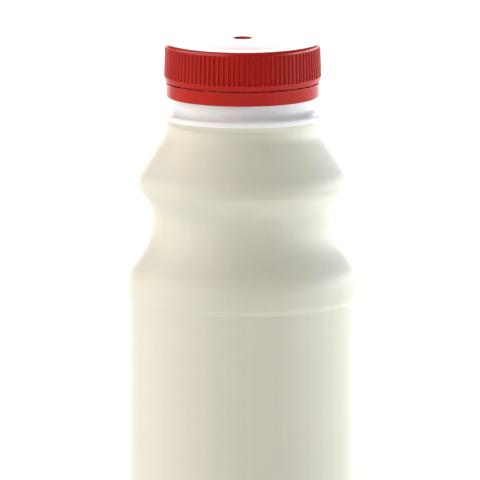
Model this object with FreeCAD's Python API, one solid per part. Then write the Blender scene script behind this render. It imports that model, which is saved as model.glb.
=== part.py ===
import FreeCAD, Part
import math
import os

# A single-serve milk bottle: a blown plastic bottle, its milk, and a ribbed screw cap with a liner and a tamper band.
# Millimetres, +Z up. The origin is the centre of the foot, so the bottle stands on Z = 0, and its front faces -Y.

# Bottle body, from the foot up. Each height is the run from one corner of the outline to the next.
BODY_RADIUS = 30.6
BODY_WALL = 0.9
BASE_WALL = 1.2
HEEL_BLEND = 6.0
FOOT_WIDTH = 5.6
PUSH_UP_HEIGHT = 4.0
PUSH_UP_RUN = 7.0
PUSH_UP_BLEND = 5.0
FOOT_BLEND = 1.5
FOOT_ROLL_HEIGHT = 19.3
PANEL_RECESS = 0.6
PANEL_HEIGHT = 79.4
LEDGE_HEIGHT = 1.4
LEDGE_BLEND = 0.8
SHOULDER_ROLL_HEIGHT = 6.5
SHOULDER_BLEND = 9.0
FLARE_HEIGHT = 9.2
WAIST_DEPTH = 6.65
WAIST_HEIGHT = 7.7
WAIST_LOWER_BLEND = 16.5
WAIST_UPPER_BLEND = 7.0
BULGE_UNDERSIDE_HEIGHT = 5.4
BULGE_SETBACK = 2.65
BULGE_HEIGHT = 3.0
BULGE_LOWER_BLEND = 3.2
BULGE_UPPER_BLEND = 8.2
CONE_HEIGHT = 11.7
NECK_HEIGHT = 2.6
NECK_BLEND = 6.0
NECK_WALL = 1.4

# Support ring, collar, tamper bead and threaded finish of the neck, from the ring up.
RING_UNDERCUT = 2.2
RING_UNDERCUT_HEIGHT = 1.7
RING_RIM_HEIGHT = 1.3
RING_BLEND = 0.5
RING_OVERHANG = 3.9
COLLAR_STEP = 1.0
COLLAR_HEIGHT = 5.65
BEAD_STEP = 0.7
BEAD_RIM_HEIGHT = 0.6
BEAD_RAMP_HEIGHT = 1.2
THREAD_ZONE_HEIGHT = 8.5
LIP_BLEND = 0.4
BORE_RADIUS = 16.0
FINISH_WALL = 1.6

# Three-start right-hand thread.
THREAD_STARTS = 3
THREAD_PITCH = 3.2
THREAD_TURN_DEG = 140.0
THREAD_RUN_OUT_DEG = 16.0
THREAD_DEPTH = 1.2
THREAD_BASE_WIDTH = 1.9
THREAD_CREST_WIDTH = 0.8
THREAD_RUN_IN = 1.25
THREAD_CLEARANCE = 0.3
THREAD_ROOT_CLEARANCE = 0.4
THREAD_PLAY = 0.2
THREAD_EMBED = 0.3
THREAD_SECTION_STEP_DEG = 8.0
CAP_THREAD_TURN_DEG = 120.0
CAP_THREAD_RUN_IN = 0.2

# Milk.
FILL_DROP = 0.5
MILK_GAP = 0.05

# Cap and its liner.
LINER_THICKNESS = 1.1
LINER_PLAY = 0.6
LINER_GAP = 0.05
LINER_BEAD_GRIP = 0.4
LINER_BEAD_HEIGHT = 0.7
CAP_TOP_THICKNESS = 1.15
CAP_DOME_RISE = 1.05
CAP_DOME_SETBACK = 4.5
CAP_EDGE_BLEND = 1.0
CAP_WALL = 1.4
CAP_DRAFT = 0.3
CAP_RIM_HEIGHT = 1.4
CAP_RIM_TAPER = 0.3
GATE_RADIUS = 2.9
GATE_DEPTH = 0.5
FLUTE_COUNT = 96
FLUTE_RADIUS = 0.42
FLUTE_DEPTH = 0.34
FLUTE_TOP_MARGIN = 1.0

# Tamper band and the bridges that hold it to the cap until the first opening.
SLIT_HEIGHT = 0.3
BAND_HEIGHT = 3.75
BAND_WALL = 0.7
BAND_CLEARANCE = 0.2
BAND_EDGE_BLEND = 0.25
BAND_FLARE = 0.25
BAND_FLARE_HEIGHT = 0.9
BAND_LIP_HEIGHT = 0.6
SNAP_OVERLAP = 0.45
SNAP_HEIGHT = 0.8
SNAP_PLAY = 0.3
BRIDGE_COUNT = 8
BRIDGE_PHASE_DEG = 17.5
BRIDGE_WIDTH = 0.9
BRIDGE_DEPTH = 0.5
BRIDGE_GAP = 0.05

# Radii that follow from the sizes above.
PANEL_RADIUS = BODY_RADIUS - PANEL_RECESS
WAIST_RADIUS = BODY_RADIUS - WAIST_DEPTH
BULGE_RADIUS = BODY_RADIUS - BULGE_SETBACK
FOOT_OUTER_RADIUS = BODY_RADIUS - HEEL_BLEND
FOOT_INNER_RADIUS = FOOT_OUTER_RADIUS - FOOT_WIDTH
PUSH_UP_RADIUS = FOOT_INNER_RADIUS - PUSH_UP_RUN
ROOT_RADIUS = BORE_RADIUS + FINISH_WALL
CREST_RADIUS = ROOT_RADIUS + THREAD_DEPTH
COLLAR_RADIUS = ROOT_RADIUS + COLLAR_STEP
BEAD_RADIUS = COLLAR_RADIUS + BEAD_STEP
RING_RADIUS = COLLAR_RADIUS + RING_OVERHANG
NECK_RADIUS = RING_RADIUS - RING_UNDERCUT
CAP_INNER_RADIUS = CREST_RADIUS + THREAD_CLEARANCE
CAP_CREST_RADIUS = ROOT_RADIUS + THREAD_ROOT_CLEARANCE
CAP_TOP_RADIUS = CAP_INNER_RADIUS + CAP_WALL
CAP_RIM_RADIUS = CAP_TOP_RADIUS + CAP_DRAFT
LINER_RADIUS = CAP_INNER_RADIUS - LINER_PLAY
BAND_INNER_RADIUS = BEAD_RADIUS + BAND_CLEARANCE
BAND_RADIUS = BAND_INNER_RADIUS + BAND_WALL
SNAP_RADIUS = BEAD_RADIUS - SNAP_OVERLAP

# Heights that follow from the sizes above.
LOWER_LEDGE_Z = FOOT_ROLL_HEIGHT
PANEL_BOTTOM_Z = LOWER_LEDGE_Z + LEDGE_HEIGHT
PANEL_TOP_Z = PANEL_BOTTOM_Z + PANEL_HEIGHT
UPPER_LEDGE_Z = PANEL_TOP_Z + LEDGE_HEIGHT
SHOULDER_Z = UPPER_LEDGE_Z + SHOULDER_ROLL_HEIGHT
WAIST_LOWER_Z = SHOULDER_Z + FLARE_HEIGHT
WAIST_UPPER_Z = WAIST_LOWER_Z + WAIST_HEIGHT
BULGE_LOWER_Z = WAIST_UPPER_Z + BULGE_UNDERSIDE_HEIGHT
BULGE_UPPER_Z = BULGE_LOWER_Z + BULGE_HEIGHT
NECK_Z = BULGE_UPPER_Z + CONE_HEIGHT
RING_UNDER_Z = NECK_Z + NECK_HEIGHT
RING_RIM_Z = RING_UNDER_Z + RING_UNDERCUT_HEIGHT
RING_TOP_Z = RING_RIM_Z + RING_RIM_HEIGHT
BEAD_UNDER_Z = RING_TOP_Z + COLLAR_HEIGHT
BEAD_RIM_Z = BEAD_UNDER_Z + BEAD_RIM_HEIGHT
BEAD_TOP_Z = BEAD_RIM_Z + BEAD_RAMP_HEIGHT
LIP_Z = BEAD_TOP_Z + THREAD_ZONE_HEIGHT
FILL_Z = RING_UNDER_Z - FILL_DROP
CAP_UNDER_Z = LIP_Z + 2 * LINER_GAP + LINER_THICKNESS
CAP_SHOULDER_Z = CAP_UNDER_Z + CAP_TOP_THICKNESS
CAP_TOP_Z = CAP_SHOULDER_Z + CAP_DOME_RISE
SNAP_TOP_Z = BEAD_UNDER_Z - SNAP_PLAY
BAND_BOTTOM_Z = SNAP_TOP_Z - SNAP_HEIGHT - BAND_LIP_HEIGHT
BAND_TOP_Z = BAND_BOTTOM_Z + BAND_HEIGHT
CAP_BOTTOM_Z = BAND_TOP_Z + SLIT_HEIGHT
CAP_RIM_Z = CAP_BOTTOM_Z + CAP_RIM_HEIGHT
THREAD_START_Z = BEAD_TOP_Z + THREAD_RUN_IN + THREAD_BASE_WIDTH / 2
LEAD = THREAD_PITCH * THREAD_STARTS

AXIS = FreeCAD.Vector(0, 0, 1)
CENTRE = FreeCAD.Vector(0, 0, 0)
SHORTEST_RUN = 1e-4


def rounding_reach(points, i, blend):
    """How far a rounding of radius blend reaches along the two runs that meet at corner i."""
    turn = (points[i] - points[i - 1]).getAngle(points[i + 1] - points[i])
    return blend * math.tan(turn / 2)


def shared_reaches(points, blends):
    """The reach of each corner's rounding. Two roundings that are too long for the run between them share it."""
    last = len(points) - 1
    wanted = [0.0] * len(points)
    for i in range(1, last):
        wanted[i] = rounding_reach(points, i, blends[i])
    factors = [1.0] * len(points)
    for i in range(last):
        both = wanted[i] + wanted[i + 1]
        run = (points[i + 1] - points[i]).Length
        if both > run:
            factors[i] = min(factors[i], run / both)
            factors[i + 1] = min(factors[i + 1], run / both)
    return [reach * factor for reach, factor in zip(wanted, factors)]


def rounded_outline(corners):
    """Line and arc edges through (radius, height, blend) corners, each rounded by its blend radius."""
    points = [FreeCAD.Vector(radius, 0, height) for radius, height, blend in corners]
    reaches = shared_reaches(points, [blend for radius, height, blend in corners])
    edges = []
    start = points[0]
    for i in range(1, len(points)):
        towards = (points[i] - points[i - 1]).normalize()
        arrive = points[i] - towards * reaches[i]
        if (arrive - start).Length > SHORTEST_RUN:
            edges.append(Part.LineSegment(start, arrive).toShape())
            start = arrive
        if reaches[i] > SHORTEST_RUN:
            away = (points[i + 1] - points[i]).normalize()
            leave = points[i] + away * reaches[i]
            edges.append(corner_arc(start, points[i], leave))
            start = leave
    return edges


def corner_arc(arrive, corner, leave):
    """The arc from arrive to leave that touches both runs of a corner."""
    half_turn = (corner - arrive).getAngle(leave - corner) / 2
    reach = (corner - arrive).Length
    sagitta = reach * (1 - math.cos(half_turn)) / math.tan(half_turn)
    middle = (arrive + leave) * 0.5
    bulge = (corner - middle).normalize()
    return Part.Arc(arrive, middle + bulge * sagitta, leave).toShape()


def revolved(corners):
    """A solid of revolution about the axis, from the corners of its closed section."""
    edges = rounded_outline(corners + corners[:1])
    return Part.Face(Part.Wire(edges)).revolve(CENTRE, AXIS, 360)


def thread_section(angle_deg, height, radii, base_width, crest_width):
    """A trapezoid across a thread, from its embedded base at radii[0] to its crest at radii[1]."""
    angle = math.radians(angle_deg)
    out = FreeCAD.Vector(math.cos(angle), math.sin(angle), 0)
    base = out * radii[0] + AXIS * height
    crest = out * radii[1] + AXIS * height
    corners = [
        base - AXIS * (base_width / 2),
        crest - AXIS * (crest_width / 2),
        crest + AXIS * (crest_width / 2),
        base + AXIS * (base_width / 2),
    ]
    return Part.makePolygon(corners + corners[:1])


def flank_spread(root, crest):
    """How much half a thread's width grows for each millimetre from its crest towards its root."""
    return (THREAD_BASE_WIDTH - THREAD_CREST_WIDTH) / 2 / (abs(crest - root) + THREAD_EMBED)


def thread(root, crest, first_z, turn_deg, first_deg):
    """One start of a thread from root to crest radius, whose ends run out into the wall it stands on."""
    outwards = math.copysign(1, crest - root)
    embedded = root - outwards * THREAD_EMBED
    sunk = root - outwards * THREAD_EMBED / 2
    steps = math.ceil(turn_deg / THREAD_SECTION_STEP_DEG)
    sections = []
    for i in range(steps + 1):
        turned = turn_deg * i / steps
        rise = min(1, turned / THREAD_RUN_OUT_DEG, (turn_deg - turned) / THREAD_RUN_OUT_DEG)
        tip = sunk + (crest - sunk) * rise
        height = first_z + LEAD * turned / 360
        sections.append(
            thread_section(first_deg + turned, height, (embedded, tip), THREAD_BASE_WIDTH, THREAD_CREST_WIDTH)
        )
    return Part.makeLoft(sections, True, False)


def thread_starts(root, crest, first_z, turn_deg, first_deg):
    """All starts of a thread, spread evenly round the axis."""
    spacing = 360 / THREAD_STARTS
    return [thread(root, crest, first_z, turn_deg, first_deg + spacing * k) for k in range(THREAD_STARTS)]


def body_outside():
    """Corners of the bottle's outside, from the middle of its base to the underside of the support ring."""
    return [
        (0, PUSH_UP_HEIGHT, 0),
        (PUSH_UP_RADIUS, PUSH_UP_HEIGHT, PUSH_UP_BLEND),
        (FOOT_INNER_RADIUS, 0, FOOT_BLEND),
        (BODY_RADIUS, 0, HEEL_BLEND),
        (BODY_RADIUS, LOWER_LEDGE_Z, LEDGE_BLEND),
        (PANEL_RADIUS, PANEL_BOTTOM_Z, LEDGE_BLEND),
        (PANEL_RADIUS, PANEL_TOP_Z, LEDGE_BLEND),
        (BODY_RADIUS, UPPER_LEDGE_Z, LEDGE_BLEND),
        (BODY_RADIUS, SHOULDER_Z, SHOULDER_BLEND),
        (WAIST_RADIUS, WAIST_LOWER_Z, WAIST_LOWER_BLEND),
        (WAIST_RADIUS, WAIST_UPPER_Z, WAIST_UPPER_BLEND),
        (BULGE_RADIUS, BULGE_LOWER_Z, BULGE_LOWER_BLEND),
        (BULGE_RADIUS, BULGE_UPPER_Z, BULGE_UPPER_BLEND),
        (NECK_RADIUS, NECK_Z, NECK_BLEND),
        (NECK_RADIUS, RING_UNDER_Z, RING_BLEND),
    ]


def finish_outside():
    """Corners of the support ring, collar, tamper bead and lip, up to the edge of the bore."""
    return [
        (RING_RADIUS, RING_RIM_Z, RING_BLEND),
        (RING_RADIUS, RING_TOP_Z, RING_BLEND),
        (COLLAR_RADIUS, RING_TOP_Z, RING_BLEND),
        (COLLAR_RADIUS, BEAD_UNDER_Z, 0),
        (BEAD_RADIUS, BEAD_UNDER_Z, 0),
        (BEAD_RADIUS, BEAD_RIM_Z, BEAD_RIM_HEIGHT),
        (ROOT_RADIUS, BEAD_TOP_Z, 0),
        (ROOT_RADIUS, LIP_Z, LIP_BLEND),
        (BORE_RADIUS, LIP_Z, LIP_BLEND),
    ]


def inside(gap):
    """Corners of the bottle's inside, from the bore down to the middle of the base, drawn in by a gap."""
    wall = BODY_WALL + gap
    base = BASE_WALL + gap
    bore = BORE_RADIUS - gap
    neck = NECK_RADIUS - NECK_WALL - gap
    return [
        (bore, RING_RIM_Z, NECK_WALL),
        (neck, RING_UNDER_Z, NECK_WALL),
        (neck, NECK_Z, NECK_BLEND + wall),
        (BULGE_RADIUS - wall, BULGE_UPPER_Z, BULGE_UPPER_BLEND - wall),
        (BULGE_RADIUS - wall, BULGE_LOWER_Z, BULGE_LOWER_BLEND - wall),
        (WAIST_RADIUS - wall, WAIST_UPPER_Z, WAIST_UPPER_BLEND + wall),
        (WAIST_RADIUS - wall, WAIST_LOWER_Z, WAIST_LOWER_BLEND + wall),
        (BODY_RADIUS - wall, SHOULDER_Z, SHOULDER_BLEND - wall),
        (BODY_RADIUS - wall, UPPER_LEDGE_Z, LEDGE_BLEND),
        (PANEL_RADIUS - wall, PANEL_TOP_Z, LEDGE_BLEND),
        (PANEL_RADIUS - wall, PANEL_BOTTOM_Z, LEDGE_BLEND),
        (BODY_RADIUS - wall, LOWER_LEDGE_Z, LEDGE_BLEND),
        (BODY_RADIUS - wall, base, HEEL_BLEND - wall),
        (FOOT_INNER_RADIUS, base, FOOT_BLEND + base),
        (PUSH_UP_RADIUS, PUSH_UP_HEIGHT + base, PUSH_UP_BLEND),
        (0, PUSH_UP_HEIGHT + base, 0),
    ]


def bottle():
    """The blown bottle: one wall from base to lip, with the threads standing on its neck."""
    wall = revolved(body_outside() + finish_outside() + inside(0))
    threads = thread_starts(ROOT_RADIUS, CREST_RADIUS, THREAD_START_Z, THREAD_TURN_DEG, 0)
    return wall.fuse(threads)


def milk():
    """The milk: the bottle's inside, a hair clear of the wall, up to the fill level."""
    filled = revolved([(0, LIP_Z, 0), (BORE_RADIUS - MILK_GAP, LIP_Z, 0)] + inside(MILK_GAP))
    below = Part.makeCylinder(BODY_RADIUS, FILL_Z)
    return filled.common(below)


def flute():
    """One finger groove of the cap at angle 0: a round groove along the drafted side, with ball ends."""
    lean = CAP_DRAFT / (CAP_SHOULDER_Z - CAP_RIM_Z)
    out = FLUTE_RADIUS - FLUTE_DEPTH
    low_z = CAP_RIM_Z + FLUTE_RADIUS
    high_z = CAP_SHOULDER_Z - FLUTE_TOP_MARGIN - FLUTE_RADIUS
    low = FreeCAD.Vector(CAP_RIM_RADIUS + out - lean * FLUTE_RADIUS, 0, low_z)
    high = FreeCAD.Vector(low.x - lean * (high_z - low_z), 0, high_z)
    groove = Part.makeCylinder(FLUTE_RADIUS, (high - low).Length, low, high - low)
    return groove.fuse([Part.makeSphere(FLUTE_RADIUS, low), Part.makeSphere(FLUTE_RADIUS, high)])


def flutes():
    """All the finger grooves round the cap."""
    first = flute()
    grooves = []
    for k in range(FLUTE_COUNT):
        groove = first.copy()
        groove.rotate(CENTRE, AXIS, 360 * k / FLUTE_COUNT)
        grooves.append(groove)
    return grooves


def cap_shell():
    """The cap without its thread and grooves: a domed top, a skirt, and a bead inside that keeps the liner in."""
    dome_radius = CAP_TOP_RADIUS - CAP_DOME_SETBACK
    dome_blend = (dome_radius**2 + CAP_DOME_RISE**2) / (2 * CAP_DOME_RISE)
    bead_radius = LINER_RADIUS - LINER_BEAD_GRIP
    bead_top = LIP_Z
    bead_middle = bead_top - LINER_BEAD_HEIGHT / 2
    return revolved(
        [
            (0, CAP_TOP_Z, 0),
            (dome_radius / 2, CAP_TOP_Z, dome_blend),
            (dome_radius, CAP_SHOULDER_Z, 0),
            (CAP_TOP_RADIUS, CAP_SHOULDER_Z, CAP_EDGE_BLEND),
            (CAP_RIM_RADIUS, CAP_RIM_Z, CAP_RIM_TAPER),
            (CAP_RIM_RADIUS - CAP_RIM_TAPER, CAP_BOTTOM_Z, 0),
            (CAP_INNER_RADIUS, CAP_BOTTOM_Z, 0),
            (CAP_INNER_RADIUS, bead_top - LINER_BEAD_HEIGHT, 0),
            (bead_radius, bead_middle, 0),
            (CAP_INNER_RADIUS, bead_top, 0),
            (CAP_INNER_RADIUS, CAP_UNDER_Z, 0),
            (0, CAP_UNDER_Z, 0),
        ]
    )


def cap():
    """The screw cap, whose thread hangs a little play below the bottle's thread."""
    overlap = CREST_RADIUS - CAP_CREST_RADIUS
    spread = max(flank_spread(ROOT_RADIUS, CREST_RADIUS), flank_spread(CAP_INNER_RADIUS, CAP_CREST_RADIUS))
    below = THREAD_CREST_WIDTH + spread * overlap + THREAD_PLAY
    first_z = CAP_BOTTOM_Z + CAP_THREAD_RUN_IN + THREAD_BASE_WIDTH / 2
    first_deg = 360 * (first_z + below - THREAD_START_Z) / LEAD
    threads = thread_starts(CAP_INNER_RADIUS, CAP_CREST_RADIUS, first_z, CAP_THREAD_TURN_DEG, first_deg)
    ball_radius = (GATE_RADIUS**2 + GATE_DEPTH**2) / (2 * GATE_DEPTH)
    gate = Part.makeSphere(ball_radius, AXIS * (CAP_TOP_Z - GATE_DEPTH + ball_radius))
    return cap_shell().fuse(threads).cut(flutes() + [gate])


def cap_liner():
    """The sealing disc that lies on the lip, under the top of the cap."""
    return Part.makeCylinder(LINER_RADIUS, LINER_THICKNESS, AXIS * (LIP_Z + LINER_GAP))


def tamper_band():
    """The band under the cap, flared at its top, with the bead inside that catches below the bead of the neck."""
    snap_bottom = SNAP_TOP_Z - SNAP_HEIGHT
    return revolved(
        [
            (BAND_INNER_RADIUS, BAND_TOP_Z, 0),
            (BAND_INNER_RADIUS, SNAP_TOP_Z, 0),
            (SNAP_RADIUS, SNAP_TOP_Z, 0),
            (BAND_INNER_RADIUS, snap_bottom, 0),
            (BAND_INNER_RADIUS, BAND_BOTTOM_Z, 0),
            (BAND_RADIUS, BAND_BOTTOM_Z, BAND_EDGE_BLEND),
            (BAND_RADIUS, BAND_TOP_Z - BAND_FLARE_HEIGHT, BAND_EDGE_BLEND),
            (BAND_RADIUS + BAND_FLARE, BAND_TOP_Z, 0),
        ]
    )


def band_bridges():
    """The breakaway bridges in the slit, standing on the band and parted from the cap by a hair."""
    corner = FreeCAD.Vector(BAND_RADIUS - BRIDGE_DEPTH, -BRIDGE_WIDTH / 2, BAND_TOP_Z)
    bridge = Part.makeBox(BRIDGE_DEPTH, BRIDGE_WIDTH, SLIT_HEIGHT - BRIDGE_GAP, corner)
    bridges = []
    for k in range(BRIDGE_COUNT):
        copy = bridge.copy()
        copy.rotate(CENTRE, AXIS, BRIDGE_PHASE_DEG + 360 * k / BRIDGE_COUNT)
        bridges.append(copy)
    return Part.makeCompound(bridges)


PIECES = {
    "bottle": bottle,
    "milk": milk,
    "cap_liner": cap_liner,
    "cap": cap,
    "tamper_band": tamper_band,
    "band_bridges": band_bridges,
}

os.makedirs("parts", exist_ok=True)
for name, make in PIECES.items():
    shape = make()
    shape.exportStep(f"parts/{name}.step")
    print(f"{name}: {len(shape.Solids)} solids, {shape.Volume / 1000:.2f} ml, valid {shape.isValid()}")
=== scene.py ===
import math

import bpy
import numpy as np
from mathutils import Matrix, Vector


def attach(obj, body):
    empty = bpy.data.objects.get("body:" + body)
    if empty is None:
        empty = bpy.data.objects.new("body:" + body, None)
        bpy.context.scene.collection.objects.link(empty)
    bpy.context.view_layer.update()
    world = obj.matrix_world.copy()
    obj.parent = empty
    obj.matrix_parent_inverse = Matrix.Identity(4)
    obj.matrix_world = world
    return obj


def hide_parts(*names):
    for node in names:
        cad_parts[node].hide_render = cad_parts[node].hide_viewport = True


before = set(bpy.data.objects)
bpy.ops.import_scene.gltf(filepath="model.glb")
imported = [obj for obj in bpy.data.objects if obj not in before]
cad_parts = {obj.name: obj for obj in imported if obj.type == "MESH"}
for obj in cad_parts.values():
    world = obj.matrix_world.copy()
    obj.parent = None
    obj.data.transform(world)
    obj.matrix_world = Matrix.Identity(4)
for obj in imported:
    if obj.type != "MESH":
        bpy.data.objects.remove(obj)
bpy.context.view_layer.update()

# The bottle is blown in one piece from natural, milky plastic in a two-part mould. Its wall is thin, the foot
# is pushed up round a small gate mark, a fine parting line runs up both sides, and a three-start thread
# stands on the moulded neck above the support ring.
MM = 0.001
TINY = 1e-5
BODY_RADIUS = 30.6
PANEL_RADIUS = 30.0
WAIST_RADIUS = 23.95
BULGE_RADIUS = 27.95
NECK_RADIUS = 20.3
RING_RADIUS = 22.5
COLLAR_RADIUS = 18.6
BEAD_RADIUS = 19.3
ROOT_RADIUS = 17.6
BORE_RADIUS = 16.0
FOOT_RADIUS = 19.0
PUSH_UP_RADIUS = 12.0
BODY_WALL = 0.9
BASE_WALL = 1.2
NECK_WALL = 1.4

PUSH_UP_Z = 4.0
PANEL_BOTTOM_Z = 20.7
PANEL_TOP_Z = PANEL_BOTTOM_Z + 79.4
LEDGE_HEIGHT = 1.4
SHOULDER_Z = PANEL_TOP_Z + 7.9
WAIST_LOWER_Z = SHOULDER_Z + 9.2
WAIST_UPPER_Z = WAIST_LOWER_Z + 7.7
BULGE_LOWER_Z = WAIST_UPPER_Z + 5.4
BULGE_UPPER_Z = BULGE_LOWER_Z + 3.0
NECK_Z = BULGE_UPPER_Z + 11.7
RING_UNDER_Z = NECK_Z + 2.6
RING_RIM_Z = RING_UNDER_Z + 1.7
RING_TOP_Z = RING_RIM_Z + 1.3
BEAD_UNDER_Z = RING_TOP_Z + 5.65
BEAD_RIM_Z = BEAD_UNDER_Z + 0.6
BEAD_TOP_Z = BEAD_RIM_Z + 1.2
LIP_Z = BEAD_TOP_Z + 8.5

HEEL_BLEND = 6.0
FOOT_BLEND = 1.5
PUSH_UP_BLEND = 5.0
LEDGE_BLEND = 0.8
SHOULDER_BLEND = 9.0
WAIST_LOWER_BLEND = 16.5
WAIST_UPPER_BLEND = 7.0
BULGE_LOWER_BLEND = 3.2
BULGE_UPPER_BLEND = 8.2
NECK_BLEND = 6.0
RING_BLEND = 0.5
RING_TO_COLLAR_BLEND = 1.8
COLLAR_TOP_BLEND = 0.1
BEAD_UNDER_BLEND = 0.12
BEAD_RIM_BLEND = 0.6
BEAD_TOP_BLEND = 0.3
LIP_BLEND = 0.4
GATE_MARK = (2.3, 0.7, 0.25)

THREAD_STARTS = 3
THREAD_LEAD = 9.6
THREAD_DEPTH = 1.2
THREAD_BASE = 1.6
THREAD_CREST = 0.75
THREAD_TURN_DEG = 140.0
THREAD_RUN_OUT_DEG = 16.0
THREAD_FIRST_DEG = 0.0
THREAD_RISE = 2.2
THREAD_FIRST_Z = BEAD_TOP_Z + THREAD_RISE
THREAD_ROW = 0.15
THREAD_TO_LIP = 1.5

PART_LINE_HEIGHT = 0.07
PART_LINE_WIDTH = 0.2
PART_LINE_SPAN = (HEEL_BLEND, NECK_Z)
PART_LINE_COLUMNS_DEG = (-1.2, -0.8, -0.4, -0.2, 0.0, 0.2, 0.4, 0.8, 1.2)
BOTTLE_COLUMNS = 192
SHARP_DEG = 40.0

BODY_CORNERS = [
    (BODY_RADIUS, PANEL_BOTTOM_Z - LEDGE_HEIGHT, LEDGE_BLEND),
    (PANEL_RADIUS, PANEL_BOTTOM_Z, LEDGE_BLEND),
    (PANEL_RADIUS, PANEL_TOP_Z, LEDGE_BLEND),
    (BODY_RADIUS, PANEL_TOP_Z + LEDGE_HEIGHT, LEDGE_BLEND),
    (BODY_RADIUS, SHOULDER_Z, SHOULDER_BLEND),
    (WAIST_RADIUS, WAIST_LOWER_Z, WAIST_LOWER_BLEND),
    (WAIST_RADIUS, WAIST_UPPER_Z, WAIST_UPPER_BLEND),
    (BULGE_RADIUS, BULGE_LOWER_Z, BULGE_LOWER_BLEND),
    (BULGE_RADIUS, BULGE_UPPER_Z, BULGE_UPPER_BLEND),
    (NECK_RADIUS, NECK_Z, NECK_BLEND),
]


def rounded_profile(corners, step_deg=6.0):
    """Points of an outline whose straight runs are joined by tangent arcs.

    A corner (radius, height, blend) that turns by an angle takes up blend * tan(angle / 2) of both its runs.
    Where two arcs want more than the run between them, both shrink to share it.
    """
    points = np.array(corners, float)[:, :2]
    blends = np.array(corners, float)[1:-1, 2]
    runs = np.diff(points, axis=0)
    lengths = np.linalg.norm(runs, axis=1)
    ways = runs / lengths[:, None]
    sides = np.stack([-ways[:, 1], ways[:, 0]], axis=1)
    turns = np.arctan2(np.sum(sides[:-1] * ways[1:], axis=1), np.sum(ways[:-1] * ways[1:], axis=1))
    reach = np.concatenate([[0.0], blends * np.tan(np.abs(turns) / 2), [0.0]])
    share = np.minimum(1.0, lengths / np.maximum(reach[:-1] + reach[1:], TINY))
    reach[1:-1] *= np.minimum(share[:-1], share[1:])
    pieces = [points[:1]]
    for way, side, turn, corner, back in zip(ways, sides, turns, points[1:], reach[1:]):
        count = math.ceil(abs(math.degrees(turn)) / step_deg) if back > TINY else 0
        angle = np.linspace(0, abs(turn), count + 1)[:, None]
        radius = back / math.tan(abs(turn) / 2) if count else 0.0
        arc = np.sin(angle) * way + (1 - np.cos(angle)) * side * np.sign(turn)
        pieces.append(corner - way * back + radius * arc)
    pieces.append(points[-1:])
    return np.concatenate(pieces)


def refined(profile, spacing, low_z, high_z):
    """The same outline with extra points, spacing apart, on the stretches that lie between two heights."""
    along = np.concatenate([[0.0], np.cumsum(np.linalg.norm(np.diff(profile, axis=0), axis=1))])
    extra = np.arange(0, along[-1], spacing)
    height = np.interp(extra, along, profile[:, 1])
    where = np.union1d(along, extra[(height > low_z) & (height < high_z)])
    where = where[np.concatenate([[True], np.diff(where) > TINY])]
    return np.stack([np.interp(where, along, profile[:, 0]), np.interp(where, along, profile[:, 1])], axis=1)


def even_turn(count):
    """Angles of a full turn in even steps."""
    return np.arange(count) * 2 * math.pi / count


def carried_round(profile, theta):
    """Radius and height of every point of an outline that is carried round the axis."""
    flat = np.zeros(len(theta))
    return profile[:, :1] + flat, profile[:, 1:] + flat


def new_piece(name, vertices, faces, sharp_deg):
    """An object with a smooth mesh whose edges over an angle stay sharp."""
    mesh = bpy.data.meshes.new(name)
    mesh.from_pydata((vertices * MM).tolist(), [], faces)
    mesh.polygons.foreach_set("use_smooth", np.ones(len(mesh.polygons), bool))
    mesh.set_sharp_from_angle(angle=math.radians(sharp_deg))
    piece = bpy.data.objects.new(name, mesh)
    bpy.context.scene.collection.objects.link(piece)
    return piece


def turned_grid(radius, height, theta):
    """Vertices and faces of a surface of revolution.

    A point is x = radius * cos(theta), y = radius * sin(theta), z = height. Rows follow an outline that runs
    anticlockwise round its section, so that faces point outwards. An outline that starts and ends on the axis
    gets a pole at each end, and any other is closed on itself.
    """
    points = np.stack([radius * np.cos(theta), radius * np.sin(theta), height], axis=-1)
    poles = radius[0].max() < TINY
    middle = points[1:-1] if poles else points
    index = np.arange(middle.shape[0] * middle.shape[1]).reshape(middle.shape[:2])
    right = np.roll(index, -1, axis=1)
    if not poles:
        quads = np.stack([index, right, np.roll(right, -1, axis=0), np.roll(index, -1, axis=0)], axis=-1)
        return middle.reshape(-1, 3), quads.reshape(-1, 4).tolist()
    quads = np.stack([index[:-1], right[:-1], right[1:], index[1:]], axis=-1).reshape(-1, 4)
    start = np.stack([np.full_like(index[0], index.size), right[0], index[0]], axis=-1)
    end = np.stack([index[-1], right[-1], np.full_like(index[0], index.size + 1)], axis=-1)
    vertices = np.concatenate([middle.reshape(-1, 3), points[0, :1], points[-1, :1]])
    return vertices, quads.tolist() + start.tolist() + end.tolist()


def thread_ridge(theta, height, first_z, first_deg, turn_deg):
    """How far a many-start thread stands out at each point, from 0 to 1.

    The middle of a start climbs first_z + lead * travelled / 360. The ridge falls from crest width to base
    width, and fades at both ends of its turn.
    """
    ridge = np.zeros(height.shape)
    for start in range(THREAD_STARTS):
        travelled = (np.degrees(theta) - first_deg - start * 360.0 / THREAD_STARTS) % 360.0
        away = np.abs(height - first_z - THREAD_LEAD * travelled / 360.0)
        flank = np.clip((THREAD_BASE / 2 - away) / (THREAD_BASE - THREAD_CREST) * 2, 0, 1)
        fade = np.clip(np.minimum(travelled, turn_deg - travelled) / THREAD_RUN_OUT_DEG, 0, 1)
        ridge = np.maximum(ridge, flank * fade)
    return ridge


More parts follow.
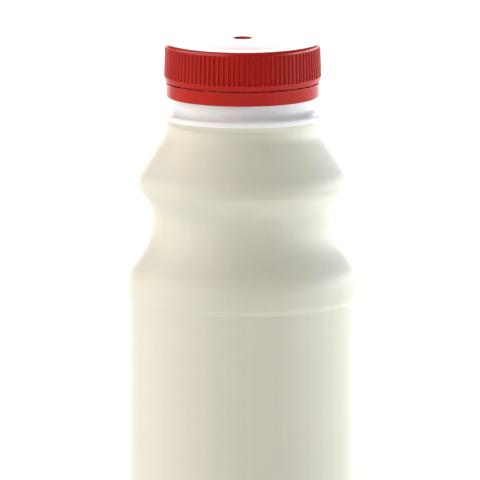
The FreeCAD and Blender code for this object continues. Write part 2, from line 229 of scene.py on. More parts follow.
def bottle_inside(gap):
    """Corners of the inside of the wall from the bore down to the middle of the base, drawn in by a gap."""
    neck = NECK_RADIUS - NECK_WALL - gap
    base = BASE_WALL + gap
    body = [
        (radius - BODY_WALL - gap, height, blend) for radius, height, blend in reversed(BODY_CORNERS[:-1])
    ]
    return [
        (BORE_RADIUS - gap, RING_RIM_Z, NECK_WALL),
        (neck, RING_UNDER_Z, NECK_WALL),
        (neck, NECK_Z, NECK_BLEND + BODY_WALL),
        *body,
        (BODY_RADIUS - BODY_WALL - gap, base, HEEL_BLEND - BODY_WALL),
        (FOOT_RADIUS, base, FOOT_BLEND + BASE_WALL),
        (PUSH_UP_RADIUS, PUSH_UP_Z + base, PUSH_UP_BLEND),
        (0, PUSH_UP_Z + base, 0),
    ]


mark_radius, mark_height, mark_blend = GATE_MARK
bottle_corners = [
    (0, PUSH_UP_Z - mark_height, 0),
    (mark_radius, PUSH_UP_Z - mark_height, mark_blend),
    (mark_radius + mark_blend, PUSH_UP_Z, mark_blend),
    (PUSH_UP_RADIUS, PUSH_UP_Z, PUSH_UP_BLEND),
    (FOOT_RADIUS, 0, FOOT_BLEND),
    (BODY_RADIUS, 0, HEEL_BLEND),
    *BODY_CORNERS,
    (NECK_RADIUS, RING_UNDER_Z, RING_BLEND),
    (RING_RADIUS, RING_RIM_Z, RING_BLEND),
    (RING_RADIUS, RING_TOP_Z, RING_BLEND),
    (COLLAR_RADIUS, RING_TOP_Z, RING_TO_COLLAR_BLEND),
    (COLLAR_RADIUS, BEAD_UNDER_Z, COLLAR_TOP_BLEND),
    (BEAD_RADIUS, BEAD_UNDER_Z, BEAD_UNDER_BLEND),
    (BEAD_RADIUS, BEAD_RIM_Z, BEAD_RIM_BLEND),
    (ROOT_RADIUS, BEAD_TOP_Z, BEAD_TOP_BLEND),
    (ROOT_RADIUS, LIP_Z, LIP_BLEND),
    (BORE_RADIUS, LIP_Z, LIP_BLEND),
    *bottle_inside(0),
]
bottle_profile = refined(rounded_profile(bottle_corners), THREAD_ROW, BEAD_TOP_Z, LIP_Z - THREAD_TO_LIP)
part_line_deg = [side + offset for side in (0, 180) for offset in PART_LINE_COLUMNS_DEG]
line_theta = np.radians(part_line_deg) % (2 * math.pi)
bottle_theta = np.unique(np.concatenate([even_turn(BOTTLE_COLUMNS), line_theta]).round(7))
bottle_radius, bottle_height = carried_round(bottle_profile, bottle_theta)
on_root = np.abs(bottle_profile[:, :1] - ROOT_RADIUS) < TINY
neck_start = (THREAD_FIRST_Z, THREAD_FIRST_DEG, THREAD_TURN_DEG)
ridge = thread_ridge(bottle_theta, bottle_height, *neck_start)
bottle_radius += on_root * THREAD_DEPTH * ridge
outside = np.arange(len(bottle_profile))[:, None] < np.argmax(bottle_profile[:, 1])
# The parting line stands out by its height * exp(-(distance / width) ** 2) on both sides of the mould.
along_line = outside * (bottle_height > PART_LINE_SPAN[0]) * (bottle_height < PART_LINE_SPAN[1])
to_line = bottle_radius * np.abs((bottle_theta + math.pi / 2) % math.pi - math.pi / 2)
bottle_radius += along_line * PART_LINE_HEIGHT * np.exp(-((to_line / PART_LINE_WIDTH) ** 2))
bottle = new_piece("bottle_blown", *turned_grid(bottle_radius, bottle_height, bottle_theta), SHARP_DEG)


def add_node(tree, kind, **values):
    """A node whose inputs, or else whose properties, are set by name."""
    node = tree.nodes.new(kind)
    for key, value in values.items():
        name = key.replace("_", " ")
        if name in node.inputs:
            node.inputs[name].default_value = value
        else:
            setattr(node, key, value)
    return node


NOISE_DETAIL = {"Peel": 3.0, "Streak": 4.0, "Cloud": 2.0}
NOISE_ROUGHNESS = 0.55


def moulding_group():
    """Surface of moulded plastic: fine peel, streaks drawn out along Z and slow clouds, from 0 to 1."""
    group = bpy.data.node_groups.new("moulded_surface", "ShaderNodeTree")
    for name in ("Peel Scale", "Streak Scale", "Streak Stretch", "Cloud Scale"):
        group.interface.new_socket(name, in_out="INPUT", socket_type="NodeSocketFloat")
    for name in NOISE_DETAIL:
        group.interface.new_socket(name, in_out="OUTPUT", socket_type="NodeSocketFloat")
    link = group.links.new
    into = group.nodes.new("NodeGroupInput").outputs
    out = group.nodes.new("NodeGroupOutput").inputs
    where = group.nodes.new("ShaderNodeTexCoord").outputs["Object"]
    stretch = add_node(group, "ShaderNodeCombineXYZ", X=1.0, Y=1.0)
    drawn = add_node(group, "ShaderNodeVectorMath", operation="MULTIPLY")
    link(into["Streak Stretch"], stretch.inputs["Z"])
    link(where, drawn.inputs[0])
    link(stretch.outputs["Vector"], drawn.inputs[1])
    sources = {"Peel": where, "Streak": drawn.outputs["Vector"], "Cloud": where}
    for name, detail in NOISE_DETAIL.items():
        noise = add_node(group, "ShaderNodeTexNoise", Detail=detail, Roughness=NOISE_ROUGHNESS)
        link(sources[name], noise.inputs["Vector"])
        link(into[name + " Scale"], noise.inputs["Scale"])
        link(noise.outputs["Fac"], out[name])
    return group


MOULDED_SURFACE = moulding_group()


def new_material(name, grain):
    """A material with its Principled shader and the moulded surface.

    The grain is the scale of the peel, the scale of the streaks, how far these are drawn out, and the scale
    of the clouds. Scales are counts to the metre.
    """
    material = bpy.data.materials.new(name)
    material.use_nodes = True
    tree = material.node_tree
    surface = tree.nodes.new("ShaderNodeGroup")
    surface.node_tree = MOULDED_SURFACE
    for socket, value in zip(surface.inputs, grain):
        socket.default_value = value
    return material, tree, tree.nodes["Principled BSDF"], surface.outputs


def ranged(tree, source, low, high, from_low=0.0, from_high=1.0):
    """A value mapped from one range to another and clamped."""
    node = add_node(
        tree, "ShaderNodeMapRange", From_Min=from_low, From_Max=from_high, To_Min=low, To_Max=high
    )
    tree.links.new(source, node.inputs["Value"])
    return node.outputs["Result"]


def mixed(tree, factor, first, second):
    """A colour between two plain colours, by the Mix node's colour sockets: inputs 6 and 7, output 2."""
    node = add_node(tree, "ShaderNodeMix", data_type="RGBA")
    tree.links.new(factor, node.inputs["Factor"])
    node.inputs[6].default_value = first
    node.inputs[7].default_value = second
    return node.outputs[2]


def bumped(tree, shader, source, strength, distance):
    """Fine relief of a strength and a depth on a shader's normal."""
    node = add_node(tree, "ShaderNodeBump", Strength=strength, Distance=distance)
    tree.links.new(source, node.inputs["Height"])
    tree.links.new(node.outputs["Normal"], shader.inputs["Normal"])


FULL_TINTS = ((0.76, 0.742, 0.636, 1.0), (0.78, 0.762, 0.656, 1.0))
EMPTY_TINTS = ((0.89, 0.97, 0.97, 1.0), (0.905, 0.985, 0.985, 1.0))
SCATTER_FULL = 0.0012
SCATTER_EMPTY = 0.0015
SCATTER_REACH = (1.0, 0.9, 0.75)
SATIN_GLOSS = 0.25
SATIN_ROUGHNESS = (0.26, 0.36)
PLASTIC_GRAIN = (700.0, 330.0, 0.015, 45.0)
PLASTIC_STREAKS = (0.35, 0.65)
PLASTIC_PEEL = (0.05, 0.0002)
PLASTIC_IOR = 1.5


def natural_plastic(name, tints, scatter):
    """Milky plastic with streaks of the blown parison and a fine peel. Light scatters in its wall."""
    material, tree, shader, surface = new_material(name, PLASTIC_GRAIN)
    streaked = ranged(tree, surface["Streak"], 0.0, 1.0, *PLASTIC_STREAKS)
    tree.links.new(mixed(tree, streaked, *tints), shader.inputs["Base Color"])
    tree.links.new(ranged(tree, surface["Cloud"], *SATIN_ROUGHNESS), shader.inputs["Roughness"])
    bumped(tree, shader, surface["Peel"], *PLASTIC_PEEL)
    shader.inputs["Subsurface Weight"].default_value = 1.0
    shader.inputs["Subsurface Radius"].default_value = SCATTER_REACH
    shader.inputs["Subsurface Scale"].default_value = scatter
    shader.inputs["Specular IOR Level"].default_value = SATIN_GLOSS
    shader.inputs["IOR"].default_value = PLASTIC_IOR
    return material


def second_material_above(piece, height):
    """The second material of a piece on all its faces above a height."""
    middle = np.zeros(len(piece.data.polygons) * 3)
    piece.data.polygons.foreach_get("center", middle)
    piece.data.polygons.foreach_set("material_index", (middle[2::3] > height * MM).astype(np.int32))


bottle.data.materials.append(natural_plastic("natural_plastic", FULL_TINTS, SCATTER_FULL))
bottle.data.materials.append(natural_plastic("natural_plastic_neck", EMPTY_TINTS, SCATTER_EMPTY))
second_material_above(bottle, RING_RIM_Z - RING_BLEND)
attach(bottle, "bottle")
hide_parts("bottle")

# The milk is filled in before the cap goes on, to just under the neck ring. It is wet and creamy, and it
# creeps up the wall at its edge.
MILK_GAP = 0.05
MILK_DROP = 0.5
MILK_TOP_Z = RING_UNDER_Z - MILK_DROP
MENISCUS_DROP = 0.8
MENISCUS_REACH = 2.5
MILK_TOP_ROWS = 24
MILK_TOP_SPREAD = 1.5
MILK_COLUMNS = 128
MILK_SHARP_DEG = 60.0
MILK_TINTS = ((0.88, 0.85, 0.76, 1.0), (0.91, 0.885, 0.80, 1.0))
MILK_GRAIN = (250.0, 120.0, 1.0, 45.0)
MILK_CLOUDS = (0.3, 0.7)
MILK_ROUGHNESS = (0.12, 0.2)
MILK_SCATTER_WEIGHT = 0.6
MILK_SCATTER_REACH = (1.0, 0.85, 0.6)
MILK_SCATTER = 0.003
MILK_IOR = 1.35

milk_edge = NECK_RADIUS - NECK_WALL - MILK_GAP
milk_side = rounded_profile(bottle_inside(MILK_GAP)[:1:-1] + [(milk_edge, MILK_TOP_Z, 0)])
# The top falls from the wall by drop * (1 - exp(-distance / reach)).
top_radius = milk_edge * np.linspace(1, 0, MILK_TOP_ROWS)[1:] ** MILK_TOP_SPREAD
top_height = MILK_TOP_Z - MENISCUS_DROP * (1 - np.exp(-(milk_edge - top_radius) / MENISCUS_REACH))
milk_profile = np.concatenate([milk_side, np.stack([top_radius, top_height], axis=1)])
milk_theta = even_turn(MILK_COLUMNS)
milk_grid = turned_grid(*carried_round(milk_profile, milk_theta), milk_theta)
milk = new_piece("milk_fill", *milk_grid, MILK_SHARP_DEG)


def fresh_milk():
    """Milk: smooth, slightly creamy and scattering."""
    material, tree, shader, surface = new_material("fresh_milk", MILK_GRAIN)
    cloudy = ranged(tree, surface["Cloud"], 0.0, 1.0, *MILK_CLOUDS)
    tree.links.new(mixed(tree, cloudy, *MILK_TINTS), shader.inputs["Base Color"])
    tree.links.new(ranged(tree, surface["Streak"], *MILK_ROUGHNESS), shader.inputs["Roughness"])
    shader.inputs["Subsurface Weight"].default_value = MILK_SCATTER_WEIGHT
    shader.inputs["Subsurface Radius"].default_value = MILK_SCATTER_REACH
    shader.inputs["Subsurface Scale"].default_value = MILK_SCATTER
    shader.inputs["IOR"].default_value = MILK_IOR
    return material


milk.data.materials.append(fresh_milk())
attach(milk, "bottle")
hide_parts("milk")

# The liner is a disc punched from white foam sheet. It is snapped into the cap and lies on the lip, which
# presses a shallow ring into it.
LINER_RADIUS = 18.5
LINER_GAP = 0.05
LINER_THICKNESS = 1.1
LINER_BOTTOM_Z = LIP_Z + LINER_GAP
LINER_TOP_Z = LINER_BOTTOM_Z + LINER_THICKNESS
LINER_BLEND = 0.25
LINER_SEAM = 0.01
SMALL_ARC_DEG = 15.0
LINER_DENT = 0.12
LINER_DENT_WIDTH = 0.6
LINER_ROWS = 60
LINER_COLUMNS = 160
LINER_TINTS = ((0.78, 0.78, 0.75, 1.0), (0.86, 0.86, 0.84, 1.0))
LINER_GRAIN = (2600.0, 900.0, 1.0, 300.0)
LINER_CELLS = (0.35, 0.65)
LINER_ROUGHNESS = (0.68, 0.82)
LINER_PORES = (0.2, 0.0001)

lip_middle = (BORE_RADIUS + ROOT_RADIUS) / 2
# The underside is dented by dent * exp(-((radius - lip) / width) ** 2).
under_radius = np.linspace(0, LINER_RADIUS - LINER_BLEND - 2 * LINER_SEAM, LINER_ROWS)
under_dent = LINER_DENT * np.exp(-(((under_radius - lip_middle) / LINER_DENT_WIDTH) ** 2))
under_profile = np.stack([under_radius, LINER_BOTTOM_Z + under_dent], axis=1)
liner_rim = rounded_profile(
    [
        (LINER_RADIUS - LINER_BLEND - LINER_SEAM, LINER_BOTTOM_Z, 0),
        (LINER_RADIUS, LINER_BOTTOM_Z, LINER_BLEND),
        (LINER_RADIUS, LINER_TOP_Z, LINER_BLEND),
        (0, LINER_TOP_Z, 0),
    ],
    SMALL_ARC_DEG,
)
liner_profile = np.concatenate([under_profile, liner_rim[1:]])
liner_theta = even_turn(LINER_COLUMNS)
liner_grid = turned_grid(*carried_round(liner_profile, liner_theta), liner_theta)
liner = new_piece("liner_disc", *liner_grid, SHARP_DEG)


def liner_foam():
    """Closed-cell foam: matt white with fine pores."""
    material, tree, shader, surface = new_material("liner_foam", LINER_GRAIN)
    cells = ranged(tree, surface["Peel"], 0.0, 1.0, *LINER_CELLS)
    tree.links.new(mixed(tree, cells, *LINER_TINTS), shader.inputs["Base Color"])
    tree.links.new(ranged(tree, surface["Streak"], *LINER_ROUGHNESS), shader.inputs["Roughness"])
    bumped(tree, shader, surface["Peel"], *LINER_PORES)
    return material


liner.data.materials.append(liner_foam())
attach(liner, "liner")
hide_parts("cap_liner")

# The cap is injection-moulded in red plastic. Fine finger ribs run round its drafted side above a plain rim,
# and its polished top is a shallow dome with a gate dimple in the middle. Its thread and the bead that holds
# the liner are inside.
CAP_INNER_RADIUS = 19.1
CAP_CREST_RADIUS = 18.0
CAP_TOP_RADIUS = 20.5
CAP_RIM_RADIUS = 20.8
CAP_RIM_TAPER = 0.3
CAP_EDGE_BLEND = 1.0
CAP_RIM_BLEND = 0.5
CAP_FOOT_BLENDS = (0.15, 0.25)
CAP_CORNER_BLEND = 0.3
CAP_TOP_WALL = 1.15
CAP_RIM_HEIGHT = 1.4
CAP_ABOVE_BEAD = 0.55
CAP_UNDER_Z = LINER_TOP_Z + LINER_GAP
CAP_SHOULDER_Z = CAP_UNDER_Z + CAP_TOP_WALL
CAP_BOTTOM_Z = BEAD_TOP_Z + CAP_ABOVE_BEAD
CAP_RIM_Z = CAP_BOTTOM_Z + CAP_RIM_HEIGHT
CAP_ARC_DEG = 9.0
CAP_SHARP_DEG = 50.0
DOME_RADIUS = 16.0
DOME_RISE = 1.05
DOME_EDGE = 0.15
DOME_ROWS = 14
DIMPLE_RADIUS = 2.9
DIMPLE_DEPTH = 0.65
DIMPLE_ROWS = 8
LINER_BEAD = (18.1, 0.35)
LINER_BEAD_BLENDS = (0.1, 0.25)
RIB_COUNT = 96
RIB_COLUMNS = 8
RIB_DEPTH = 0.5
RIB_EDGES = (0.12, 0.72)
RIB_MARGIN = 0.05
RIB_LOW_Z = CAP_RIM_Z + RIB_MARGIN
RIB_HIGH_Z = CAP_SHOULDER_Z - CAP_EDGE_BLEND
RIB_END = 0.5
RIB_END_ROW = 0.07
CAP_THREAD_ROW = 0.3
CAP_THREAD_TURN_DEG = 120.0
CAP_THREAD_MARGIN = 0.2
CAP_THREAD_RISE = 1.15
CAP_THREAD_FIRST_Z = CAP_BOTTOM_Z + CAP_THREAD_RISE
CAP_THREAD_FIRST_DEG = 30.5

bead_radius, bead_half = LINER_BEAD
bead_root_blend, bead_crest_blend = LINER_BEAD_BLENDS
foot_inner_blend, foot_outer_blend = CAP_FOOT_BLENDS
bead_z = LIP_Z - bead_half
rim_middle = (CAP_INNER_RADIUS + CAP_RIM_RADIUS) / 2
cap_inside = rounded_profile(
    [
        (0, CAP_UNDER_Z, 0),
        (CAP_INNER_RADIUS, CAP_UNDER_Z, CAP_CORNER_BLEND),
        (CAP_INNER_RADIUS, bead_z + bead_half, bead_root_blend),
        (bead_radius, bead_z, bead_crest_blend),
        (CAP_INNER_RADIUS, bead_z - bead_half, bead_root_blend),
        (CAP_INNER_RADIUS, CAP_BOTTOM_Z, foot_inner_blend),
        (rim_middle, CAP_BOTTOM_Z, 0),
    ],
    SMALL_ARC_DEG,
)
cap_outside = rounded_profile(
    [
        (rim_middle, CAP_BOTTOM_Z, 0),
        (CAP_RIM_RADIUS - CAP_RIM_TAPER, CAP_BOTTOM_Z, foot_outer_blend),
        (CAP_RIM_RADIUS, CAP_RIM_Z, CAP_RIM_BLEND),
        (CAP_TOP_RADIUS, CAP_SHOULDER_Z, CAP_EDGE_BLEND),
        (DOME_RADIUS + DOME_EDGE, CAP_SHOULDER_Z, 0),
    ],
    CAP_ARC_DEG,
)
# The top rises by rise * (1 - (radius / dome) ** 2) and sinks by depth * (1 - (radius / dimple) ** 4).
dome_radius = np.linspace(DOME_RADIUS, DIMPLE_RADIUS, DOME_ROWS)
dimple_radius = DIMPLE_RADIUS * np.linspace(1, 0, DIMPLE_ROWS)[1:]
top_radius = np.concatenate([dome_radius, dimple_radius])
dimple = DIMPLE_DEPTH * np.clip(1 - (top_radius / DIMPLE_RADIUS) ** 4, 0, 1)
top_height = CAP_SHOULDER_Z + DOME_RISE * (1 - (top_radius / DOME_RADIUS) ** 2) - dimple
cap_inside = refined(cap_inside, CAP_THREAD_ROW, CAP_BOTTOM_Z + CAP_THREAD_MARGIN, bead_z - bead_half)
cap_outside = refined(cap_outside, RIB_END_ROW, RIB_LOW_Z, RIB_LOW_Z + RIB_END)
cap_outside = refined(cap_outside, RIB_END_ROW, RIB_HIGH_Z - RIB_END, RIB_HIGH_Z)
cap_profile = np.concatenate([cap_inside, cap_outside[1:], np.stack([top_radius, top_height], axis=1)])
cap_theta = even_turn(RIB_COUNT * RIB_COLUMNS)
cap_radius, cap_height = carried_round(cap_profile, cap_theta)
on_wall = np.abs(cap_profile[:, :1] - CAP_INNER_RADIUS) < TINY
cap_start = (CAP_THREAD_FIRST_Z, CAP_THREAD_FIRST_DEG, CAP_THREAD_TURN_DEG)
cap_ridge = thread_ridge(cap_theta, cap_height, *cap_start)
cap_radius -= on_wall * (CAP_INNER_RADIUS - CAP_CREST_RADIUS) * cap_ridge
# A groove goes with the cosine of the ribs round the cap, cut off at a flat land and a flat bottom with eased
# edges, and runs out in a quarter circle at both ends.
swing = 0.5 - 0.5 * np.cos(RIB_COUNT * cap_theta)
land, bottom = RIB_EDGES
wave = np.clip((swing - land) / (bottom - land), 0, 1)
groove = wave**2 * (3 - 2 * wave)
from_end = np.clip(np.minimum(cap_height - RIB_LOW_Z, RIB_HIGH_Z - cap_height) / RIB_END, 0, 1)
rounded_end = np.sqrt(1 - (1 - from_end) ** 2)
on_side = cap_profile[:, :1] > rim_middle
cap_radius -= on_side * RIB_DEPTH * np.clip(groove - (1 - rounded_end), 0, 1)
cap = new_piece("cap_ribbed", *turned_grid(cap_radius, cap_height, cap_theta), CAP_SHARP_DEG)

RED_TINTS = ((0.47, 0.0115, 0.0055, 1.0), (0.52, 0.0135, 0.0075, 1.0))
TOP_GLOSS = 0.5
SIDE_GLOSS = 0.2
RED_GRAIN = (1500.0, 260.0, 0.3, 90.0)
RED_FLOW = (0.3, 0.7)
RED_ROUGHNESS = (0.12, 0.18)
RED_PEEL = (0.015, 0.0001)
RED_SCATTER_WEIGHT = 0.1
RED_SCATTER_REACH = (1.0, 0.12, 0.1)
RED_SCATTER = 0.001


def red_plastic(name, gloss):
    """Red moulded plastic with a little flow in its colour and a fine peel in its gloss."""
    material, tree, shader, surface = new_material(name, RED_GRAIN)
    flow = ranged(tree, surface["Cloud"], 0.0, 1.0, *RED_FLOW)
    tree.links.new(mixed(tree, flow, *RED_TINTS), shader.inputs["Base Color"])
    tree.links.new(ranged(tree, surface["Streak"], *RED_ROUGHNESS), shader.inputs["Roughness"])
    bumped(tree, shader, surface["Peel"], *RED_PEEL)
    shader.inputs["Subsurface Weight"].default_value = RED_SCATTER_WEIGHT
    shader.inputs["Subsurface Radius"].default_value = RED_SCATTER_REACH
    shader.inputs["Subsurface Scale"].default_value = RED_SCATTER
    shader.inputs["Specular IOR Level"].default_value = gloss
    shader.inputs["IOR"].default_value = PLASTIC_IOR
    return material


RED_PLASTIC = red_plastic("red_plastic", SIDE_GLOSS)
cap.data.materials.append(RED_PLASTIC)
cap.data.materials.append(red_plastic("red_plastic_polished", TOP_GLOSS))
second_material_above(cap, RIB_HIGH_Z)
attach(cap, "cap")
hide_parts("cap")

# The tamper band hangs below the cap and is moulded with it in the same red plastic. It flares at its top
# edge, and a bead inside it catches under the bead of the neck.
BAND_RADIUS = 20.2
BAND_INNER_RADIUS = 19.5
BAND_FLARE = 0.25
BAND_FLARE_HEIGHT = 0.9
BAND_HEIGHT = 3.75
BAND_BELOW_SNAP = 0.6
SNAP_RADIUS = 18.85
SNAP_HEIGHT = 0.8
SNAP_PLAY = 0.3
SNAP_TOP_Z = BEAD_UNDER_Z - SNAP_PLAY
BAND_BOTTOM_Z = SNAP_TOP_Z - SNAP_HEIGHT - BAND_BELOW_SNAP
BAND_TOP_Z = BAND_BOTTOM_Z + BAND_HEIGHT
BAND_FOOT_BLENDS = (0.12, 0.25)
BAND_FLARE_BLEND = 0.5
BAND_TOP_BLENDS = (0.08, 0.15)
SNAP_BLENDS = (0.1, 0.15)
BAND_SEAM = (0.3, 0.35)
BAND_COLUMNS = 256

band_foot_inner, band_foot_outer = BAND_FOOT_BLENDS
band_top_inner, band_top_outer = BAND_TOP_BLENDS
snap_root, snap_crest = SNAP_BLENDS
seam_low, seam_high = BAND_SEAM
band_profile = rounded_profile(
    [
        (BAND_INNER_RADIUS, BAND_BOTTOM_Z + seam_low, 0),
        (BAND_INNER_RADIUS, BAND_BOTTOM_Z, band_foot_inner),
        (BAND_RADIUS, BAND_BOTTOM_Z, band_foot_outer),
        (BAND_RADIUS, BAND_TOP_Z - BAND_FLARE_HEIGHT, BAND_FLARE_BLEND),
        (BAND_RADIUS + BAND_FLARE, BAND_TOP_Z, band_top_outer),
        (BAND_INNER_RADIUS, BAND_TOP_Z, band_top_inner),
        (BAND_INNER_RADIUS, SNAP_TOP_Z, snap_root),
        (SNAP_RADIUS, SNAP_TOP_Z, snap_crest),
        (BAND_INNER_RADIUS, SNAP_TOP_Z - SNAP_HEIGHT, snap_root),
        (BAND_INNER_RADIUS, BAND_BOTTOM_Z + seam_high, 0),
    ],
    SMALL_ARC_DEG,
)
band_theta = even_turn(BAND_COLUMNS)
band_grid = turned_grid(*carried_round(band_profile, band_theta), band_theta)
band = new_piece("band_moulded", *band_grid, SHARP_DEG)
band.data.materials.append(RED_PLASTIC)
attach(band, "band")
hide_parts("tamper_band")

# The bridges are small webs of the same red plastic that stand on the band across the slit. Each narrows
# upwards to the neck where it tears from the cap at the first opening.
BRIDGE_COUNT = 8
BRIDGE_PHASE_DEG = 17.5
BRIDGE_DEPTH = 0.5
BRIDGE_RADIUS = BAND_RADIUS - BRIDGE_DEPTH / 2
BRIDGE_WIDTH = 0.9
BRIDGE_NECK = 0.6
BRIDGE_GAP = 0.05
BRIDGE_HEIGHT = CAP_BOTTOM_Z - BAND_TOP_Z - BRIDGE_GAP
BRIDGE_ROWS = 9
BRIDGE_COLUMNS = 20

# A section is a rounded square, (|cos| ** 4 + |sin| ** 4) ** (-1 / 4), times 1 - (1 - neck) * level ** 2.
turn = even_turn(BRIDGE_COLUMNS)
square = (np.abs(np.cos(turn)) ** 4 + np.abs(np.sin(turn)) ** 4) ** -0.25
level = np.linspace(0, 1, BRIDGE_ROWS)
taper = 1 - (1 - BRIDGE_NECK) * level**2
section = np.concatenate([[0.0], taper, [0.0]])[:, None] * square
rise = np.concatenate([[0.0], level, [1.0]])[:, None] * BRIDGE_HEIGHT + np.zeros(BRIDGE_COLUMNS)
web, web_faces = turned_grid(section, rise, turn)
web = web * (BRIDGE_DEPTH / 2, BRIDGE_WIDTH / 2, 1.0) + (BRIDGE_RADIUS, 0.0, BAND_TOP_Z)
around = np.radians(BRIDGE_PHASE_DEG) + even_turn(BRIDGE_COUNT)[:, None]
web_x = web[:, 0] * np.cos(around) - web[:, 1] * np.sin(around)
web_y = web[:, 0] * np.sin(around) + web[:, 1] * np.cos(around)
webs = np.stack([web_x, web_y, web[:, 2] + 0 * around], axis=-1).reshape(-1, 3)
webs_faces = [[v + k * len(web) for v in face] for k in range(BRIDGE_COUNT) for face in web_faces]
bridges = new_piece("bridge_webs", webs, webs_faces, SHARP_DEG)
bridges.data.materials.append(RED_PLASTIC)
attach(bridges, "band")
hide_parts("band_bridges")

# The floor is a pale sheet just under the foot. It takes a soft shadow in front of the bottle, and glows
# behind it and at its right, so that it runs out into the white background.
FLOOR_RADIUS = 3.0
FLOOR_Z = -0.1
FLOOR_COLUMNS = 96
FLOOR_FADE = (0.0, 0.12)
FLOOR_GLOW_WAY = (0.75, 0.66, 0.0)
FLOOR_TINT = (0.8, 0.8, 0.8, 1.0)
FLOOR_ROUGHNESS = 0.9
FLOOR_GLOW = 1.5
FLOOR_FRONT_SHARE = 0.36

floor_turn = even_turn(FLOOR_COLUMNS)
floor_rim = np.stack([np.cos(floor_turn), np.sin(floor_turn), 0 * floor_turn], axis=1) * FLOOR_RADIUS
floor_mesh = bpy.data.meshes.new("floor")
floor_mesh.from_pydata(floor_rim.tolist(), [], [list(range(FLOOR_COLUMNS))])
floor = bpy.data.objects.new("floor", floor_mesh)
floor.location.z = FLOOR_Z * MM
bpy.context.scene.collection.objects.link(floor)


def pale_floor():
    """Matt white that turns into plain light to one side."""
    material = bpy.data.materials.new("pale_floor")
    material.use_nodes = True
    tree = material.node_tree
    shader = tree.nodes["Principled BSDF"]
    shader.inputs["Base Color"].default_value = FLOOR_TINT
    shader.inputs["Roughness"].default_value = FLOOR_ROUGHNESS
    where = tree.nodes.new("ShaderNodeTexCoord").outputs["Object"]
    along = add_node(tree, "ShaderNodeVectorMath", operation="DOT_PRODUCT")
    along.inputs[1].default_value = FLOOR_GLOW_WAY
    tree.links.new(where, along.inputs[0])
    glow = add_node(tree, "ShaderNodeEmission", Color=(1, 1, 1, 1), Strength=FLOOR_GLOW)
    mix = tree.nodes.new("ShaderNodeMixShader")
    share = ranged(tree, along.outputs["Value"], FLOOR_FRONT_SHARE, 1.0, *FLOOR_FADE)
    tree.links.new(share, mix.inputs["Fac"])
    tree.links.new(shader.outputs["BSDF"], mix.inputs[1])
    tree.links.new(glow.outputs["Emission"], mix.inputs[2])
    tree.links.new(mix.outputs["Shader"], tree.nodes["Material Output"].inputs["Surface"])
    return material


floor_mesh.materials.append(pale_floor())

# The studio is a white surround that dims overhead, with broad panels of light at the left, low at the right,
# behind and above, and a dark gap on the camera's side. A panel is its direction, the cosines of its edge and
# its middle, and its strength.
SURROUND_STRENGTH = 1.2
SURROUND_LEAST = 0.05
TOP_STRENGTH = 0.1
TOP_EDGE = (-0.15, 0.2)
PANELS = [
    (Vector((-0.93, -0.34, 0.3)), (0.5, 0.95), 2.1),
    (Vector((0.92, 0.22, -0.5)), (0.5, 0.95), 6.5),
    (Vector((0.0, 1.0, 0.15)), (0.86, 0.98), 3.5),
    (Vector((0.0, 0.0, 1.0)), (0.8, 0.97), 0.5),
    (Vector((0.35, -1.0, 0.45)), (0.55, 0.97), -0.9),
]
WARM_LIGHT = (1.0, 0.935, 0.885, 1.0)
COOL_LIGHT = (0.94, 1.0, 1.07, 1.0)
WARM_TO_COOL = (-0.6, 0.6)


def joined(tree, operation, first, second):
    """Two values, of which the second may be a plain number, put together by one operation."""
    node = add_node(tree, "ShaderNodeMath", operation=operation)
    tree.links.new(first, node.inputs[0])
    if isinstance(second, float):
        node.inputs[1].default_value = second
    else:
        tree.links.new(second, node.inputs[1])
    return node.outputs["Value"]


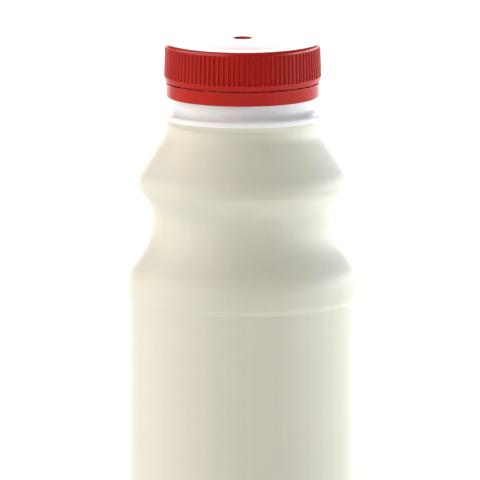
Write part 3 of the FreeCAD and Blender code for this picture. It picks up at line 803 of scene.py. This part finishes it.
def studio_world():
    """White to the camera, and for light a white surround that changes with the direction."""
    world = bpy.data.worlds.new("studio")
    world.use_nodes = True
    tree = world.node_tree
    tree.nodes.clear()
    link = tree.links.new
    where = tree.nodes.new("ShaderNodeTexCoord").outputs["Generated"]
    split = tree.nodes.new("ShaderNodeSeparateXYZ")
    link(where, split.inputs["Vector"])
    strength = ranged(tree, split.outputs["Z"], SURROUND_STRENGTH, TOP_STRENGTH, *TOP_EDGE)
    for side, edge, amount in PANELS:
        facing = add_node(tree, "ShaderNodeVectorMath", operation="DOT_PRODUCT")
        facing.inputs[1].default_value = side.normalized()
        link(where, facing.inputs[0])
        strength = joined(tree, "ADD", strength, ranged(tree, facing.outputs["Value"], 0.0, amount, *edge))
    light = tree.nodes.new("ShaderNodeBackground")
    link(joined(tree, "MAXIMUM", strength, SURROUND_LEAST), light.inputs["Strength"])
    rightwards = ranged(tree, split.outputs["X"], 0.0, 1.0, *WARM_TO_COOL)
    link(mixed(tree, rightwards, WARM_LIGHT, COOL_LIGHT), light.inputs["Color"])
    seen = add_node(tree, "ShaderNodeBackground", Color=(1, 1, 1, 1), Strength=1.0)
    path = tree.nodes.new("ShaderNodeLightPath")
    mix = tree.nodes.new("ShaderNodeMixShader")
    link(path.outputs["Is Camera Ray"], mix.inputs["Fac"])
    link(light.outputs["Background"], mix.inputs[1])
    link(seen.outputs["Background"], mix.inputs[2])
    out = tree.nodes.new("ShaderNodeOutputWorld")
    link(mix.outputs["Shader"], out.inputs["Surface"])
    return world


bpy.context.scene.world = studio_world()
bpy.context.scene.view_settings.view_transform = "Standard"

# The camera looks slightly down on the bottle through a long lens from far off. Its frame is about twice as
# wide as the bottle, and cuts off the foot.
AIM = Vector((-0.7, 0.0, 115.9)) * MM
CAMERA_DISTANCE = 3.5
CAMERA_ELEVATION = math.radians(9.2)
FRAME_WIDTH = 127.0 * MM
SENSOR_WIDTH = 36.0

camera_data = bpy.data.cameras.new("camera")
camera_data.sensor_width = SENSOR_WIDTH
camera_data.lens = SENSOR_WIDTH * CAMERA_DISTANCE / FRAME_WIDTH
camera = bpy.data.objects.new("camera", camera_data)
bpy.context.scene.collection.objects.link(camera)
backwards = Vector((0.0, -math.cos(CAMERA_ELEVATION), math.sin(CAMERA_ELEVATION)))
camera.location = AIM + backwards * CAMERA_DISTANCE
camera.rotation_euler = backwards.to_track_quat("Z", "Y").to_euler()
bpy.context.scene.camera = camera
